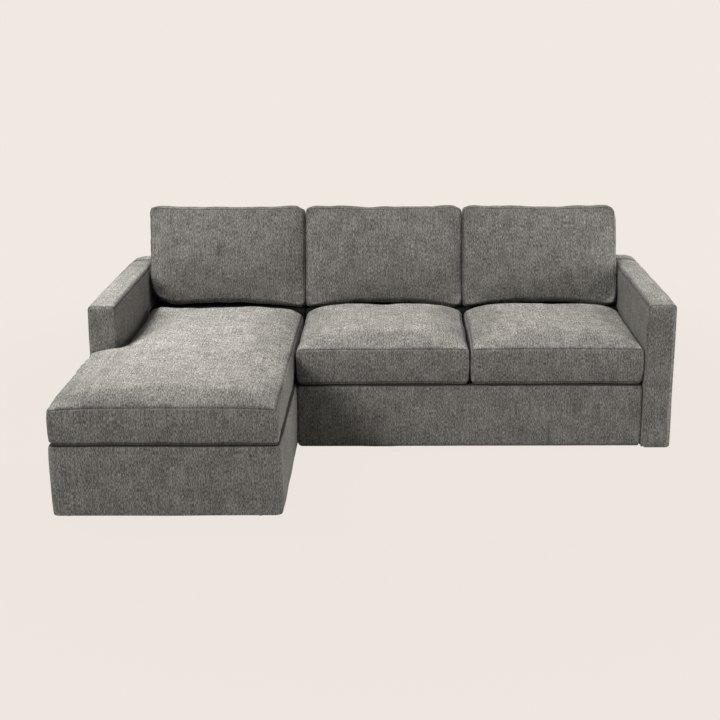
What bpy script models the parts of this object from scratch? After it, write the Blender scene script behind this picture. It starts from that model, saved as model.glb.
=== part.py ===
# Corner sofa bed with a chaise on its left and a seat that rolls forward on castors.
# Metres, +Z up. The front faces -Y and the origin lies under the middle of the whole.
# "Depth" below is the distance behind the front plane of the arms, as a maker would
# measure it. Places in front of that plane have a negative depth.

import math

import bmesh
import bpy
from mathutils import Vector

# Overall sizes
OVERALL_WIDTH = 2.400
SOFA_DEPTH = 1.000            # from the arms' front plane to the rear of the back
CHAISE_REACH = 0.730          # how far the chaise cushion comes forward of the arms
CHAISE_WIDTH = 0.840          # with the arm that stands behind it
CHAISE_NOSE = 0.010           # the cushion overhangs the box in front
ARM_WIDTH = 0.120
ARM_HEIGHT = 0.614
BACK_THICKNESS = 0.140
BACK_RISE = 0.016             # the back stands this much above the arms
DECK_HEIGHT = 0.270           # top of the slats, the front rail and the chaise box
GLIDE_HEIGHT = 0.005
GLIDE_RADIUS = 0.014
GLIDE_INSET = 0.080

# Upholstered shells
ARM_EDGE_RADIUS = 0.018
BACK_EDGE_RADIUS = 0.030
PANEL_THICKNESS = 0.030
PANEL_EDGE_RADIUS = 0.012
FRONT_RAIL_THICKNESS = 0.050
FRONT_RAIL_SETBACK = 0.010
FRONT_RAIL_CORNER = 0.040
FRONT_RAIL_FLOOR_GAP = 0.007
LEDGE_DEPTH = 0.185
LEDGE_TOP = 0.432             # the back cushions stand on it
LEDGE_EDGE_RADIUS = 0.015

# Deck of interleaved slats
FIXED_SLAT_COUNT = 7
SLAT_THICKNESS = 0.020
SLAT_GAP = 0.010
SLAT_EDGE_RADIUS = 0.003
CHAISE_SLAT_COUNT = 5
CHAISE_SLAT_WIDTH = 0.110
RAIL_HEIGHT = 0.035           # battens and cross rails under the slats
RAIL_THICKNESS = 0.030
LEDGER_THICKNESS = 0.020
CROSS_RAIL_CLEARANCE = 0.005

# Carriage that rolls out
CARRIAGE_REAR_GAP = 0.060     # behind the moving slats, at rest
RUNNER_WIDTH = 0.040
RUNNER_HEIGHT = 0.040
RUNNER_INSET = 0.060          # from the side of the seat bay

# Castors
WHEEL_RADIUS = 0.025
WHEEL_WIDTH = 0.018
WHEEL_TREAD_ROUND = 0.003
PIN_RADIUS = 0.004
BORE_CLEARANCE = 0.0005
FORK_THICKNESS = 0.003
FORK_SIDE_CLEARANCE = 0.001
FORK_CROWN_GAP = 0.018        # above the wheel, below the fork's top plate
FORK_LENGTH = 0.030
FORK_FOOT = 0.009             # how far the cheeks pass below the pin
CASTOR_INSET = 0.070          # from the ends of the runners

# Cushions
SEAT_SEAM_HEIGHT = 0.427
SEAT_CROWN = 0.050
SEAT_CUSHION_GAP = 0.002
CHAISE_SEAM_HEIGHT = 0.415
CHAISE_CROWN = 0.045
BACK_CUSHION_HEIGHT = 0.454
BACK_BOXING = 0.100
BACK_FRONT_CROWN = 0.060
BACK_REAR_CROWN = 0.032
BACK_RECLINE = 0.230          # backward lean for each metre of height
BACK_STAND_OFF = 0.080        # rear seam to the back, at the foot of the cushion
CUSHION_SIDE_DRAW = 0.006     # sides drawn in between the corners
BACK_SIDE_DRAW = 0.010
CUSHION_BULGE = 0.006         # of the boxing, between the two seams
LOWER_SEAM_RISE = 0.014
LOWER_SEAM_TUCK = 0.006
CORNER_ROUND = 0.008
CROWN_REACH = 0.230           # the crown is full this far from the edge

# Clearances
TOUCH = 0.0003                # between pieces that touch
SIDE_PLAY = 0.003             # beside whatever slides or is lifted out

# Derived planes and sides
LEFT_SIDE = -OVERALL_WIDTH / 2
RIGHT_SIDE = OVERALL_WIDTH / 2
ARM_FRONT_Y = (CHAISE_REACH - SOFA_DEPTH) / 2
BAY_LEFT = LEFT_SIDE + CHAISE_WIDTH
BAY_RIGHT = RIGHT_SIDE - ARM_WIDTH
ARM_INNER_LEFT = LEFT_SIDE + ARM_WIDTH
BACK_FRONT_DEPTH = SOFA_DEPTH - BACK_THICKNESS
CHAISE_BOX_FRONT = CHAISE_NOSE - CHAISE_REACH
LEDGE_FRONT_DEPTH = BACK_FRONT_DEPTH - LEDGE_DEPTH
SLAT_UNDERSIDE = DECK_HEIGHT - SLAT_THICKNESS
RAIL_TOP = SLAT_UNDERSIDE - TOUCH
RAIL_BOTTOM = RAIL_TOP - RAIL_HEIGHT
FRONT_RAIL_BACK = FRONT_RAIL_SETBACK + FRONT_RAIL_THICKNESS
CARRIAGE_FRONT = FRONT_RAIL_BACK + TOUCH
CROSS_RAIL_FRONT = CARRIAGE_FRONT + RAIL_THICKNESS + CROSS_RAIL_CLEARANCE
CARRIAGE_REAR = BACK_FRONT_DEPTH - CARRIAGE_REAR_GAP
FORK_TOP = 2 * WHEEL_RADIUS + FORK_CROWN_GAP + FORK_THICKNESS
RUNNER_BOTTOM = FORK_TOP + TOUCH
RUNNER_TOP = RUNNER_BOTTOM + RUNNER_HEIGHT

FABRIC = (0.105, 0.098, 0.088)
BEECH = (0.62, 0.44, 0.26)
STEEL = (0.07, 0.07, 0.075)
PLASTIC = (0.02, 0.02, 0.02)
RUBBER = (0.045, 0.045, 0.048)


def clear_scene():
    for item in list(bpy.data.objects):
        bpy.data.objects.remove(item, do_unlink=True)


def at_depth(depth):
    """World Y of a place that lies this far behind the arms' front plane."""
    return ARM_FRONT_Y + depth


def finish(name, colour, roughness, metallic=0.0):
    material = bpy.data.materials.new(name + "_finish")
    material.use_nodes = True
    shader = material.node_tree.nodes["Principled BSDF"]
    shader.inputs["Base Color"].default_value = (*colour, 1.0)
    shader.inputs["Roughness"].default_value = roughness
    shader.inputs["Metallic"].default_value = metallic
    material.diffuse_color = (*colour, 1.0)
    return material


def fabric(name):
    return finish(name, FABRIC, 0.95)


def beech(name):
    return finish(name, BEECH, 0.55)


def steel(name):
    return finish(name, STEEL, 0.45, 0.9)


def plastic(name):
    return finish(name, PLASTIC, 0.6)


def rubber(name):
    return finish(name, RUBBER, 0.8)


def add_object(name, shape, material, location=(0, 0, 0), parent=None):
    """Link a bmesh as an object. Its location is in the world, also under a parent."""
    mesh = bpy.data.meshes.new(name)
    bmesh.ops.recalc_face_normals(shape, faces=shape.faces)
    shape.to_mesh(mesh)
    shape.free()
    item = bpy.data.objects.new(name, mesh)
    item.data.materials.append(material)
    bpy.context.collection.objects.link(item)
    item.location = Vector(location)
    if parent:
        item.parent = parent
        item.location = Vector(location) - parent.location
    return item


def add_empty(name, location):
    item = bpy.data.objects.new(name, None)
    item.location = Vector(location)
    bpy.context.collection.objects.link(item)
    return item


def round_edges(item, width, segments, chosen=None):
    """Bevel every edge, or only those whose ends satisfy the chosen test."""
    bevel = item.modifiers.new("rounded edges", "BEVEL")
    bevel.width = width
    bevel.segments = segments
    bevel.limit_method = "NONE"
    if chosen:
        bevel.limit_method = "WEIGHT"
        weights = item.data.attributes.new("bevel_weight_edge", "FLOAT", "EDGE")
        for edge in item.data.edges:
            ends = [item.data.vertices[index].co for index in edge.vertices]
            weights.data[edge.index].value = 1.0 if chosen(*ends) else 0.0
    return bevel


def block(name, sides, depths, heights, material, parent=None):
    """A box between two X places, two depths and two heights, centred on its origin."""
    shape = bmesh.new()
    bmesh.ops.create_cube(shape, size=1.0)
    low = Vector((sides[0], at_depth(depths[0]), heights[0]))
    high = Vector((sides[1], at_depth(depths[1]), heights[1]))
    bmesh.ops.scale(shape, vec=high - low, verts=shape.verts)
    return add_object(name, shape, material, (low + high) / 2, parent)


def extruded(shape, outline, axis, start, end):
    """Extrude an outline given in the two other axes from start to end along one axis."""
    def place(point, along):
        values = list(point)
        values.insert(axis, along)
        return values
    bottom = [shape.verts.new(place(point, start)) for point in outline]
    face = shape.faces.new(bottom)
    moved = bmesh.ops.extrude_face_region(shape, geom=[face])["geom"]
    step = Vector(place((0, 0), end - start))
    fresh = [part for part in moved if isinstance(part, bmesh.types.BMVert)]
    bmesh.ops.translate(shape, vec=step, verts=fresh)


def arc(centre, radius, start, end, steps):
    """Points of an arc, with both ends, in degrees."""
    points = []
    for step in range(steps + 1):
        angle = math.radians(start + (end - start) * step / steps)
        points.append((centre[0] + radius * math.cos(angle),
                       centre[1] + radius * math.sin(angle)))
    return points


def off_floor(first, second):
    """True for an edge that isn't wholly on the underside of a centred block."""
    return max(first.z, second.z) > 0


def build_arms():
    for side, low in (("left", LEFT_SIDE), ("right", BAY_RIGHT)):
        name = side + "_arm"
        arm = block(name, (low, low + ARM_WIDTH), (0, BACK_FRONT_DEPTH),
                    (GLIDE_HEIGHT, ARM_HEIGHT), fabric(name))
        round_edges(arm, ARM_EDGE_RADIUS, 4, off_floor)


def build_backs():
    """The back is split where the chaise meets the sofa, and rounded down at the rear."""
    spans = (("back_left", LEFT_SIDE, BAY_LEFT - TOUCH), ("back_right", BAY_LEFT + TOUCH, RIGHT_SIDE))
    rear = at_depth(SOFA_DEPTH)
    front = at_depth(BACK_FRONT_DEPTH) + TOUCH
    for name, low, high in spans:
        shape = bmesh.new()
        top = ARM_HEIGHT + BACK_RISE
        rear_round = 2 * BACK_EDGE_RADIUS
        outline = [(front, GLIDE_HEIGHT), (rear, GLIDE_HEIGHT)]
        outline += arc((rear - rear_round, top - rear_round), rear_round, 0, 90, 6)
        outline += arc((front + ARM_EDGE_RADIUS, top - ARM_EDGE_RADIUS), ARM_EDGE_RADIUS, 90, 180, 4)
        extruded(shape, outline, 0, low, high)
        wall = add_object(name, shape, fabric(name))
        outer = LEFT_SIDE if name == "back_left" else RIGHT_SIDE

        def on_outer_end(first, second, outer=outer):
            at_end = abs(first.x - outer) < TOUCH and abs(second.x - outer) < TOUCH
            above = max(first.z, second.z) > GLIDE_HEIGHT + TOUCH
            at_front = max(first.y, second.y) < front + TOUCH
            return at_end and above and not at_front

        round_edges(wall, ARM_EDGE_RADIUS / 2, 2, on_outer_end)


def build_chaise_box():
    """Three upholstered panels carry the chaise cushion's edge, with slats between them."""
    depths = (CHAISE_BOX_FRONT, CHAISE_BOX_FRONT + PANEL_THICKNESS)
    heights = (GLIDE_HEIGHT, DECK_HEIGHT)
    front = block("chaise_front_panel", (LEFT_SIDE, BAY_LEFT), depths, heights,
                  fabric("chaise_front_panel"))

    def front_corner(first, second):
        return first.y < 0 and second.y < 0 and max(first.z, second.z) > 0
    round_edges(front, PANEL_EDGE_RADIUS, 3, front_corner)

    behind = depths[1] + TOUCH
    left_inner = LEFT_SIDE + PANEL_THICKNESS
    left = block("chaise_left_panel", (LEFT_SIDE, left_inner), (behind, -TOUCH), heights,
                 fabric("chaise_left_panel"))

    def outer_top(first, second):
        return first.x < 0 and second.x < 0 and min(first.z, second.z) > 0
    round_edges(left, PANEL_EDGE_RADIUS, 3, outer_top)

    right_inner = BAY_LEFT - PANEL_THICKNESS
    right = block("chaise_right_panel", (right_inner, BAY_LEFT), (behind, BACK_FRONT_DEPTH),
                  heights, fabric("chaise_right_panel"))

    def inner_top(first, second):
        return first.x > 0 and second.x > 0 and min(first.z, second.z) > 0
    round_edges(right, PANEL_EDGE_RADIUS / 2, 2, inner_top)

    ledgers = (
        ("chaise_ledger_front", left_inner, 1, behind, -TOUCH),
        ("chaise_ledger_arm", ARM_INNER_LEFT, 1, 0, BACK_FRONT_DEPTH),
        ("chaise_ledger_right", right_inner, -1, behind, BACK_FRONT_DEPTH),
    )
    for name, wall, side, start, end in ledgers:
        sides = sorted((wall + side * TOUCH, wall + side * LEDGER_THICKNESS))
        block(name, sides, (start, end), (RAIL_BOTTOM, RAIL_TOP), beech(name))

    first = behind + CHAISE_SLAT_WIDTH
    last = BACK_FRONT_DEPTH - CHAISE_SLAT_WIDTH
    step = (last - first) / (CHAISE_SLAT_COUNT - 1)
    for index in range(CHAISE_SLAT_COUNT):
        name = "chaise_slat_%d" % (index + 1)
        middle = first + index * step
        if abs(middle) < CHAISE_SLAT_WIDTH:
            middle = math.copysign(CHAISE_SLAT_WIDTH, middle)
        inner = left_inner if middle < 0 else ARM_INNER_LEFT
        slat = block(name, (inner + TOUCH, right_inner - TOUCH),
                     (middle - CHAISE_SLAT_WIDTH / 2, middle + CHAISE_SLAT_WIDTH / 2),
                     (SLAT_UNDERSIDE, DECK_HEIGHT), beech(name))
        round_edges(slat, SLAT_EDGE_RADIUS, 2, along_x)


def along_x(first, second):
    return abs(first.x - second.x) > abs(first.y - second.y) + abs(first.z - second.z)


def along_y(first, second):
    return abs(first.y - second.y) > abs(first.x - second.x) + abs(first.z - second.z)


def build_deck(carriage):
    """Fixed and moving slats alternate across the seat bay, so they pass each other."""
    sides = (BAY_LEFT + TOUCH, BAY_RIGHT - TOUCH)
    heights = (RAIL_BOTTOM, RAIL_TOP)
    block("front_cross_rail", sides, (CROSS_RAIL_FRONT, CROSS_RAIL_FRONT + RAIL_THICKNESS),
          heights, beech("front_cross_rail"))
    block("rear_ledger", sides, (BACK_FRONT_DEPTH - RAIL_THICKNESS, BACK_FRONT_DEPTH),
          heights, beech("rear_ledger"))

    count = 2 * FIXED_SLAT_COUNT - 1
    pitch = (BAY_RIGHT - BAY_LEFT) / count
    for index in range(count):
        left = BAY_LEFT + index * pitch + SLAT_GAP / 2
        right = left + pitch - SLAT_GAP
        moving = index % 2 == 1
        if moving:
            name = "moving_slat_%d" % (index // 2 + 1)
            depths = (CARRIAGE_FRONT, CARRIAGE_REAR)
        else:
            name = "fixed_slat_%d" % (index // 2 + 1)
            depths = (CROSS_RAIL_FRONT, BACK_FRONT_DEPTH)
        slat = block(name, (left, right), depths, (SLAT_UNDERSIDE, DECK_HEIGHT),
                     beech(name), carriage if moving else None)
        round_edges(slat, SLAT_EDGE_RADIUS, 2, along_y)


def build_ledges():
    """Fixed ledges over the rear of both decks, on which the back cushions stand."""
    def front_top(first, second):
        return max(first.y, second.y) < 0 < min(first.z, second.z)

    spans = (("chaise_back_ledge", ARM_INNER_LEFT, BAY_LEFT), ("seat_back_ledge", BAY_LEFT, BAY_RIGHT))
    for name, left, right in spans:
        ledge = block(name, (left + TOUCH, right - TOUCH), (LEDGE_FRONT_DEPTH, BACK_FRONT_DEPTH - TOUCH),
                      (DECK_HEIGHT + TOUCH, LEDGE_TOP), fabric(name))
        round_edges(ledge, LEDGE_EDGE_RADIUS, 3, front_top)


def build_carriage(carriage):
    sides = (BAY_LEFT + SIDE_PLAY, BAY_RIGHT - SIDE_PLAY)
    front = at_depth(FRONT_RAIL_SETBACK)
    rear = at_depth(FRONT_RAIL_BACK)

    # Front rail: its two top corners are rounded in the plane of its face
    corner = FRONT_RAIL_CORNER
    top = DECK_HEIGHT
    outline = [(sides[0], FRONT_RAIL_FLOOR_GAP), (sides[1], FRONT_RAIL_FLOOR_GAP)]
    outline += arc((sides[1] - corner, top - corner), corner, 0, 90, 6)
    outline += arc((sides[0] + corner, top - corner), corner, 90, 180, 6)
    shape = bmesh.new()
    extruded(shape, outline, 1, front, rear)
    rail = add_object("front_rail", shape, fabric("front_rail"), parent=carriage,
                      location=(0, 0, 0))

    def front_edge(first, second):
        on_front = max(first.y, second.y) < front + TOUCH
        return on_front and max(first.z, second.z) > FRONT_RAIL_FLOOR_GAP + TOUCH
    round_edges(rail, PANEL_EDGE_RADIUS, 3, front_edge)

    block("carriage_front_batten", (sides[0] + RUNNER_INSET, sides[1] - RUNNER_INSET),
          (CARRIAGE_FRONT, CARRIAGE_FRONT + RAIL_THICKNESS), (RAIL_BOTTOM, RAIL_TOP),
          beech("carriage_front_batten"), carriage)

    # Rear cross member, on two posts that stand on the runners
    runners = (sides[0] + RUNNER_INSET, sides[1] - RUNNER_INSET - RUNNER_WIDTH)
    rear_depths = (CARRIAGE_REAR - RAIL_THICKNESS, CARRIAGE_REAR)
    name = "carriage_rear_member"
    block(name, (runners[0], runners[1] + RUNNER_WIDTH), rear_depths, (RAIL_BOTTOM, RAIL_TOP),
          steel(name), carriage)

    for side, low in zip(("left", "right"), runners):
        name = "runner_" + side
        runner = block(name, (low, low + RUNNER_WIDTH), (CARRIAGE_FRONT, CARRIAGE_REAR),
                       (RUNNER_BOTTOM, RUNNER_TOP), steel(name), carriage)
        round_edges(runner, SLAT_EDGE_RADIUS, 2, along_y)
        name = "carriage_post_" + side
        block(name, (low, low + RUNNER_WIDTH), rear_depths,
              (RUNNER_TOP + TOUCH, RAIL_BOTTOM - TOUCH), steel(name), carriage)
        for place, depth in (("front", CARRIAGE_FRONT + CASTOR_INSET),
                             ("rear", CARRIAGE_REAR - CASTOR_INSET)):
            centre = (low + RUNNER_WIDTH / 2, at_depth(depth), WHEEL_RADIUS)
            build_castor(side + "_" + place, centre, carriage)


def build_castor(place, centre, carriage):
    """A fork with its pin fused in, and a wheel that turns on the pin about X."""
    inner = WHEEL_WIDTH / 2 + FORK_SIDE_CLEARANCE
    outer = inner + FORK_THICKNESS
    top = FORK_TOP - WHEEL_RADIUS
    plate = top - FORK_THICKNESS
    outline = [(-outer, -FORK_FOOT), (-inner, -FORK_FOOT), (-inner, plate), (inner, plate),
               (inner, -FORK_FOOT), (outer, -FORK_FOOT), (outer, top), (-outer, top)]
    shape = bmesh.new()
    extruded(shape, outline, 1, -FORK_LENGTH / 2, FORK_LENGTH / 2)

    # The cheeks narrow towards the pin
    for vertex in shape.verts:
        if vertex.co.z < 0:
            vertex.co.y *= 2 * FORK_FOOT / FORK_LENGTH
    name = "castor_fork_" + place
    fork = add_object(name, shape, steel(name), centre, carriage)

    pin_shape = bmesh.new()
    profile = arc((0, 0), PIN_RADIUS, 0, 330, 11)
    extruded(pin_shape, profile, 0, -outer + TOUCH, outer - TOUCH)
    pin = add_object("pin_guide_" + place, pin_shape, steel("pin_guide_" + place), centre, carriage)
    pin.hide_render = True
    pin.display_type = "WIRE"
    join = fork.modifiers.new("pin", "BOOLEAN")
    join.operation = "UNION"
    join.solver = "EXACT"
    join.object = pin

    bore = PIN_RADIUS + BORE_CLEARANCE
    half = WHEEL_WIDTH / 2
    tread = WHEEL_TREAD_ROUND
    profile = [(bore, -half), (WHEEL_RADIUS - tread, -half)]
    profile += [(WHEEL_RADIUS, -half + tread), (WHEEL_RADIUS, half - tread)]
    profile += [(WHEEL_RADIUS - tread, half), (bore, half)]
    name = "castor_wheel_" + place
    wheel = add_object(name, turned_about_x(profile, 24), rubber(name), centre, carriage)
    wheel.data.shade_smooth()
    wheel.data.set_sharp_from_angle(angle=math.radians(35))


def turned_about_x(profile, steps):
    """Turn a closed profile of (radius, X) points about the X axis into a ring."""
    shape = bmesh.new()
    rings = []
    for step in range(steps):
        angle = 2 * math.pi * step / steps
        rings.append([shape.verts.new((along, radius * math.cos(angle), radius * math.sin(angle)))
                      for radius, along in profile])
    count = len(profile)
    for step in range(steps):
        ring, following = rings[step], rings[(step + 1) % steps]
        for index in range(count):
            after = (index + 1) % count
            shape.faces.new((ring[index], ring[after], following[after], following[index]))
    return shape


def build_glides():
    left = LEFT_SIDE + ARM_WIDTH / 2
    right = RIGHT_SIDE - ARM_WIDTH / 2
    rear = SOFA_DEPTH - BACK_THICKNESS / 2
    places = (
        ("left_arm", left, GLIDE_INSET),
        ("right_arm", right, GLIDE_INSET),
        ("back_left", left, rear),
        ("back_middle", BAY_LEFT + GLIDE_INSET, rear),
        ("back_right", right, rear),
        ("chaise_left", left, CHAISE_BOX_FRONT + PANEL_THICKNESS / 2),
        ("chaise_right", BAY_LEFT - GLIDE_INSET, CHAISE_BOX_FRONT + PANEL_THICKNESS / 2),
    )
    for place, across, depth in places:
        add_glide(place, across, depth)


def add_glide(place, across, depth):
    """A short round foot, slightly narrower on the floor."""
    name = "glide_" + place
    height = GLIDE_HEIGHT - TOUCH
    shape = bmesh.new()
    bmesh.ops.create_cone(shape, cap_ends=True, segments=20, radius1=0.9 * GLIDE_RADIUS,
                          radius2=GLIDE_RADIUS, depth=height)
    glide = add_object(name, shape, plastic(name), (across, at_depth(depth), height / 2))
    glide.data.shade_smooth()
    glide.data.set_sharp_from_angle(angle=math.radians(35))


def spread(low, high, count):
    """Places from low to high, closer together towards both ends."""
    inner = [low + (high - low) * (1 - math.cos(math.pi * step / count)) / 2
             for step in range(1, count)]
    return [low, *inner, high]


def distance_to_outline(point, corners):
    best = math.inf
    for index, start in enumerate(corners):
        end = corners[(index + 1) % len(corners)]
        along = Vector(end) - Vector(start)
        share = (Vector(point) - Vector(start)).dot(along) / along.length_squared
        nearest = Vector(start) + along * min(max(share, 0), 1)
        best = min(best, (Vector(point) - nearest).length)
    return best


def inside(point, corners):
    """Crossing test of a point against the corners of an outline."""
    crossed = False
    for index, start in enumerate(corners):
        end = corners[(index + 1) % len(corners)]
        if (start[1] > point[1]) != (end[1] > point[1]):
            across = start[0] + (point[1] - start[1]) * (end[0] - start[0]) / (end[1] - start[1])
            crossed ^= point[0] < across
    return crossed


def border_loop(corners, columns, rows, draw):
    """Border points in order: where each is on the grid, its place, its outward direction.

    The sides are drawn in between the corners, and the corners are slightly rounded.
    """
    loop = []
    count = len(corners)
    for index, corner in enumerate(corners):
        start = Vector(corner)
        end = Vector(corners[(index + 1) % count])
        before = Vector(corners[index - 1])
        along = (end - start).normalized()
        earlier = (start - before).normalized()
        outward = Vector((along.y, -along.x))
        corner_way = outward + Vector((earlier.y, -earlier.x))
        convex = earlier.x * along.y > earlier.y * along.x
        pull = CORNER_ROUND / 2 if convex else -CORNER_ROUND / 3
        loop.append((corner, start - corner_way * pull, corner_way.normalized()))
        axis = 0 if abs(along.x) > abs(along.y) else 1
        lines = columns if axis == 0 else rows
        length = (end - start).length
        low, high = sorted((start[axis], end[axis]))
        span = [line for line in lines if low + TOUCH < line < high - TOUCH]
        if along[axis] < 0:
            span.reverse()
        for line in span:
            spot = list(corner)
            spot[axis] = line
            share = abs(line - start[axis]) / length
            pull = draw * 4 * share * (1 - share)
            loop.append((tuple(spot), Vector(spot) - outward * pull, outward))
    return loop


def cushion(corners, columns, rows, levels, crowns, draw, tuck=LOWER_SEAM_TUCK):
    """A closed cushion over an outline of right angles.

    The levels are its foot, lower seam and upper seam. Both panels swell by their own
    crown, to the full height at CROWN_REACH from the edge, and the boxing bulges.
    """
    foot, lower, upper = levels
    bottom_crown, top_crown = crowns
    shape = bmesh.new()
    loop = border_loop(corners, columns, rows, draw)
    keys = [spot for spot, _, _ in loop]

    def swell(point):
        share = min(distance_to_outline(point, corners) / CROWN_REACH, 1)
        return 1 - (1 - share) ** 2.4

    def ring(height, offset):
        return [shape.verts.new((*(place + outward * offset), height))
                for _, place, outward in loop]

    def panel(border, base, crown):
        found = dict(zip(keys, border))
        for column in columns:
            for row in rows:
                spot = (column, row)
                if spot in found or not inside(spot, corners):
                    continue
                found[spot] = shape.verts.new((column, row, base + crown * swell(spot)))
        for left, right in zip(columns, columns[1:]):
            for low, high in zip(rows, rows[1:]):
                if inside(((left + right) / 2, (low + high) / 2), corners):
                    square = [(left, low), (right, low), (right, high), (left, high)]
                    shape.faces.new([found[spot] for spot in square])

    rings = []
    if bottom_crown:
        rings.append(ring(lower, 0))
        panel(rings[0], lower, -bottom_crown)
    else:
        rings.append(ring(foot, -tuck))
        rings.append(ring(lower, 0))
        shape.faces.new(rings[0])
    for share in (0.25, 0.5, 0.75):
        bulge = CUSHION_BULGE * math.sin(math.pi * share)
        rings.append(ring(lower + (upper - lower) * share, bulge))
    rings.append(ring(upper, 0))
    panel(rings[-1], upper, top_crown)
    count = len(loop)
    for low, high in zip(rings, rings[1:]):
        for index in range(count):
            after = (index + 1) % count
            shape.faces.new((low[index], low[after], high[after], high[index]))
    return shape


def add_cushion(name, shape, location=(0, 0, 0), parent=None):
    item = add_object(name, shape, fabric(name), location, parent)
    item.data.shade_smooth()
    item.data.set_sharp_from_angle(angle=math.radians(40))
    return item


def rectangle(left, right, low, high):
    return [(left, low), (right, low), (right, high), (left, high)]


def build_seat_cushions(carriage):
    margin = CUSHION_BULGE + SEAT_CUSHION_GAP / 2
    middle = (BAY_LEFT + BAY_RIGHT) / 2
    low = at_depth(CUSHION_BULGE)
    high = at_depth(LEDGE_FRONT_DEPTH - SIDE_PLAY - CUSHION_BULGE)
    levels = (DECK_HEIGHT + TOUCH, DECK_HEIGHT + LOWER_SEAM_RISE, SEAT_SEAM_HEIGHT)
    spans = (("seat_cushion_middle", BAY_LEFT + SIDE_PLAY + CUSHION_BULGE, middle - margin),
             ("seat_cushion_right", middle + margin, BAY_RIGHT - SIDE_PLAY - CUSHION_BULGE))
    for name, left, right in spans:
        shape = cushion(rectangle(left, right, low, high), spread(left, right, 12),
                        spread(low, high, 11), levels, (0, SEAT_CROWN), CUSHION_SIDE_DRAW)
        add_cushion(name, shape, parent=carriage)


def build_chaise_cushion():
    """An L: it runs the whole width in front of the arm and fits between arm and seat behind."""
    left = LEFT_SIDE + CUSHION_BULGE
    notch = ARM_INNER_LEFT + SIDE_PLAY + CUSHION_BULGE
    right = BAY_LEFT - SIDE_PLAY - CUSHION_BULGE
    front = at_depth(-CHAISE_REACH + CUSHION_BULGE)
    step = at_depth(-SIDE_PLAY - CUSHION_BULGE)
    rear = at_depth(LEDGE_FRONT_DEPTH - SIDE_PLAY - CUSHION_BULGE)
    corners = [(left, front), (right, front), (right, rear), (notch, rear), (notch, step),
               (left, step)]
    columns = spread(left, notch, 4)[:-1] + spread(notch, right, 11)
    rows = spread(front, step, 11)[:-1] + spread(step, rear, 12)
    levels = (DECK_HEIGHT + TOUCH, DECK_HEIGHT + LOWER_SEAM_RISE, CHAISE_SEAM_HEIGHT)
    add_cushion("chaise_cushion", cushion(corners, columns, rows, levels, (0, CHAISE_CROWN),
                                          CUSHION_SIDE_DRAW))


def build_back_cushions():
    """Boxed cushions stood on edge and leaned back; each origin is at its foot."""
    foot = LEDGE_TOP + TOUCH
    rear_seam = at_depth(BACK_FRONT_DEPTH - BACK_STAND_OFF)
    middle = (BAY_LEFT + BAY_RIGHT) / 2
    spans = (("left", ARM_INNER_LEFT, BAY_LEFT), ("middle", BAY_LEFT, middle), ("right", middle, BAY_RIGHT))
    low = CUSHION_BULGE
    high = BACK_CUSHION_HEIGHT - CUSHION_BULGE
    for place, left, right in spans:
        half_width = (right - left) / 2 - SIDE_PLAY - CUSHION_BULGE
        shape = cushion(rectangle(-half_width, half_width, low, high),
                        spread(-half_width, half_width, 12), spread(low, high, 9),
                        (0, 0, BACK_BOXING), (BACK_REAR_CROWN, BACK_FRONT_CROWN), BACK_SIDE_DRAW)
        for vertex in shape.verts:
            across, up, forward = vertex.co
            vertex.co = (across, up * BACK_RECLINE - forward, up)
        add_cushion("back_cushion_" + place, shape, ((left + right) / 2, rear_seam, foot))


def build():
    clear_scene()
    carriage = add_empty("bed_carriage_axis", (0, at_depth(FRONT_RAIL_SETBACK), 0))
    build_arms()
    build_backs()
    build_chaise_box()
    build_deck(carriage)
    build_ledges()
    build_carriage(carriage)
    build_glides()
    build_seat_cushions(carriage)
    build_chaise_cushion()
    build_back_cushions()


build()
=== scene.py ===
import math

import bpy
import numpy as np
from mathutils import Matrix, Vector


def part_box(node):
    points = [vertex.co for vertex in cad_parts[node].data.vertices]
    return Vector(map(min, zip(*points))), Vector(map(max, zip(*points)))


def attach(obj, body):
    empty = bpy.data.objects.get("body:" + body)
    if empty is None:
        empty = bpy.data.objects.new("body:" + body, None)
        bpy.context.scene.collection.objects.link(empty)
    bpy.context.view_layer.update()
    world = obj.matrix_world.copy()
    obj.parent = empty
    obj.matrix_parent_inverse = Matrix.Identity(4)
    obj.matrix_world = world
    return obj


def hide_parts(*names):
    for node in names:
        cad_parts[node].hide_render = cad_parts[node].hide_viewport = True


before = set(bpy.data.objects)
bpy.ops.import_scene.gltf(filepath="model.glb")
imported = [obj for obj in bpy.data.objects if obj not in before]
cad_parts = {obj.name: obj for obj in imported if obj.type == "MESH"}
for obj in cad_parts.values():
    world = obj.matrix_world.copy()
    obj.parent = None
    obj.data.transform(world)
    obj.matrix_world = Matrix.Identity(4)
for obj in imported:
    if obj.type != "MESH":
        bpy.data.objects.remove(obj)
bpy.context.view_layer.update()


# Every piece below is worked out from the boxes of the frame's own nodes

def boxOf(node):
    low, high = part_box(node)
    return np.array(low), np.array(high)


print("frame loaded", len(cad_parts), "nodes")


# Numpy helpers

def smooth(value, low, high):
    # A ramp from 0 at low to 1 at high with level ends: 3t^2 - 2t^3
    t = np.clip((value - low) / (high - low), 0, 1)
    return t * t * (3 - 2 * t)


waveRange = (0.7, 1.6)           # waves in a random field, as shares of its wavelength


def ripple(points, seed, wavelength, count=7):
    # A soft random field between about -1 and 1: a sum of sines of random direction and phase
    rng = np.random.default_rng(seed)
    field = np.zeros(len(points))
    for _ in range(count):
        way = rng.normal(size=3)
        way /= np.linalg.norm(way)
        length = wavelength * rng.uniform(*waveRange)
        field += np.sin(points @ way * 2 * np.pi / length + rng.uniform(0, 2 * np.pi))
    return field / math.sqrt(count)


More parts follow.
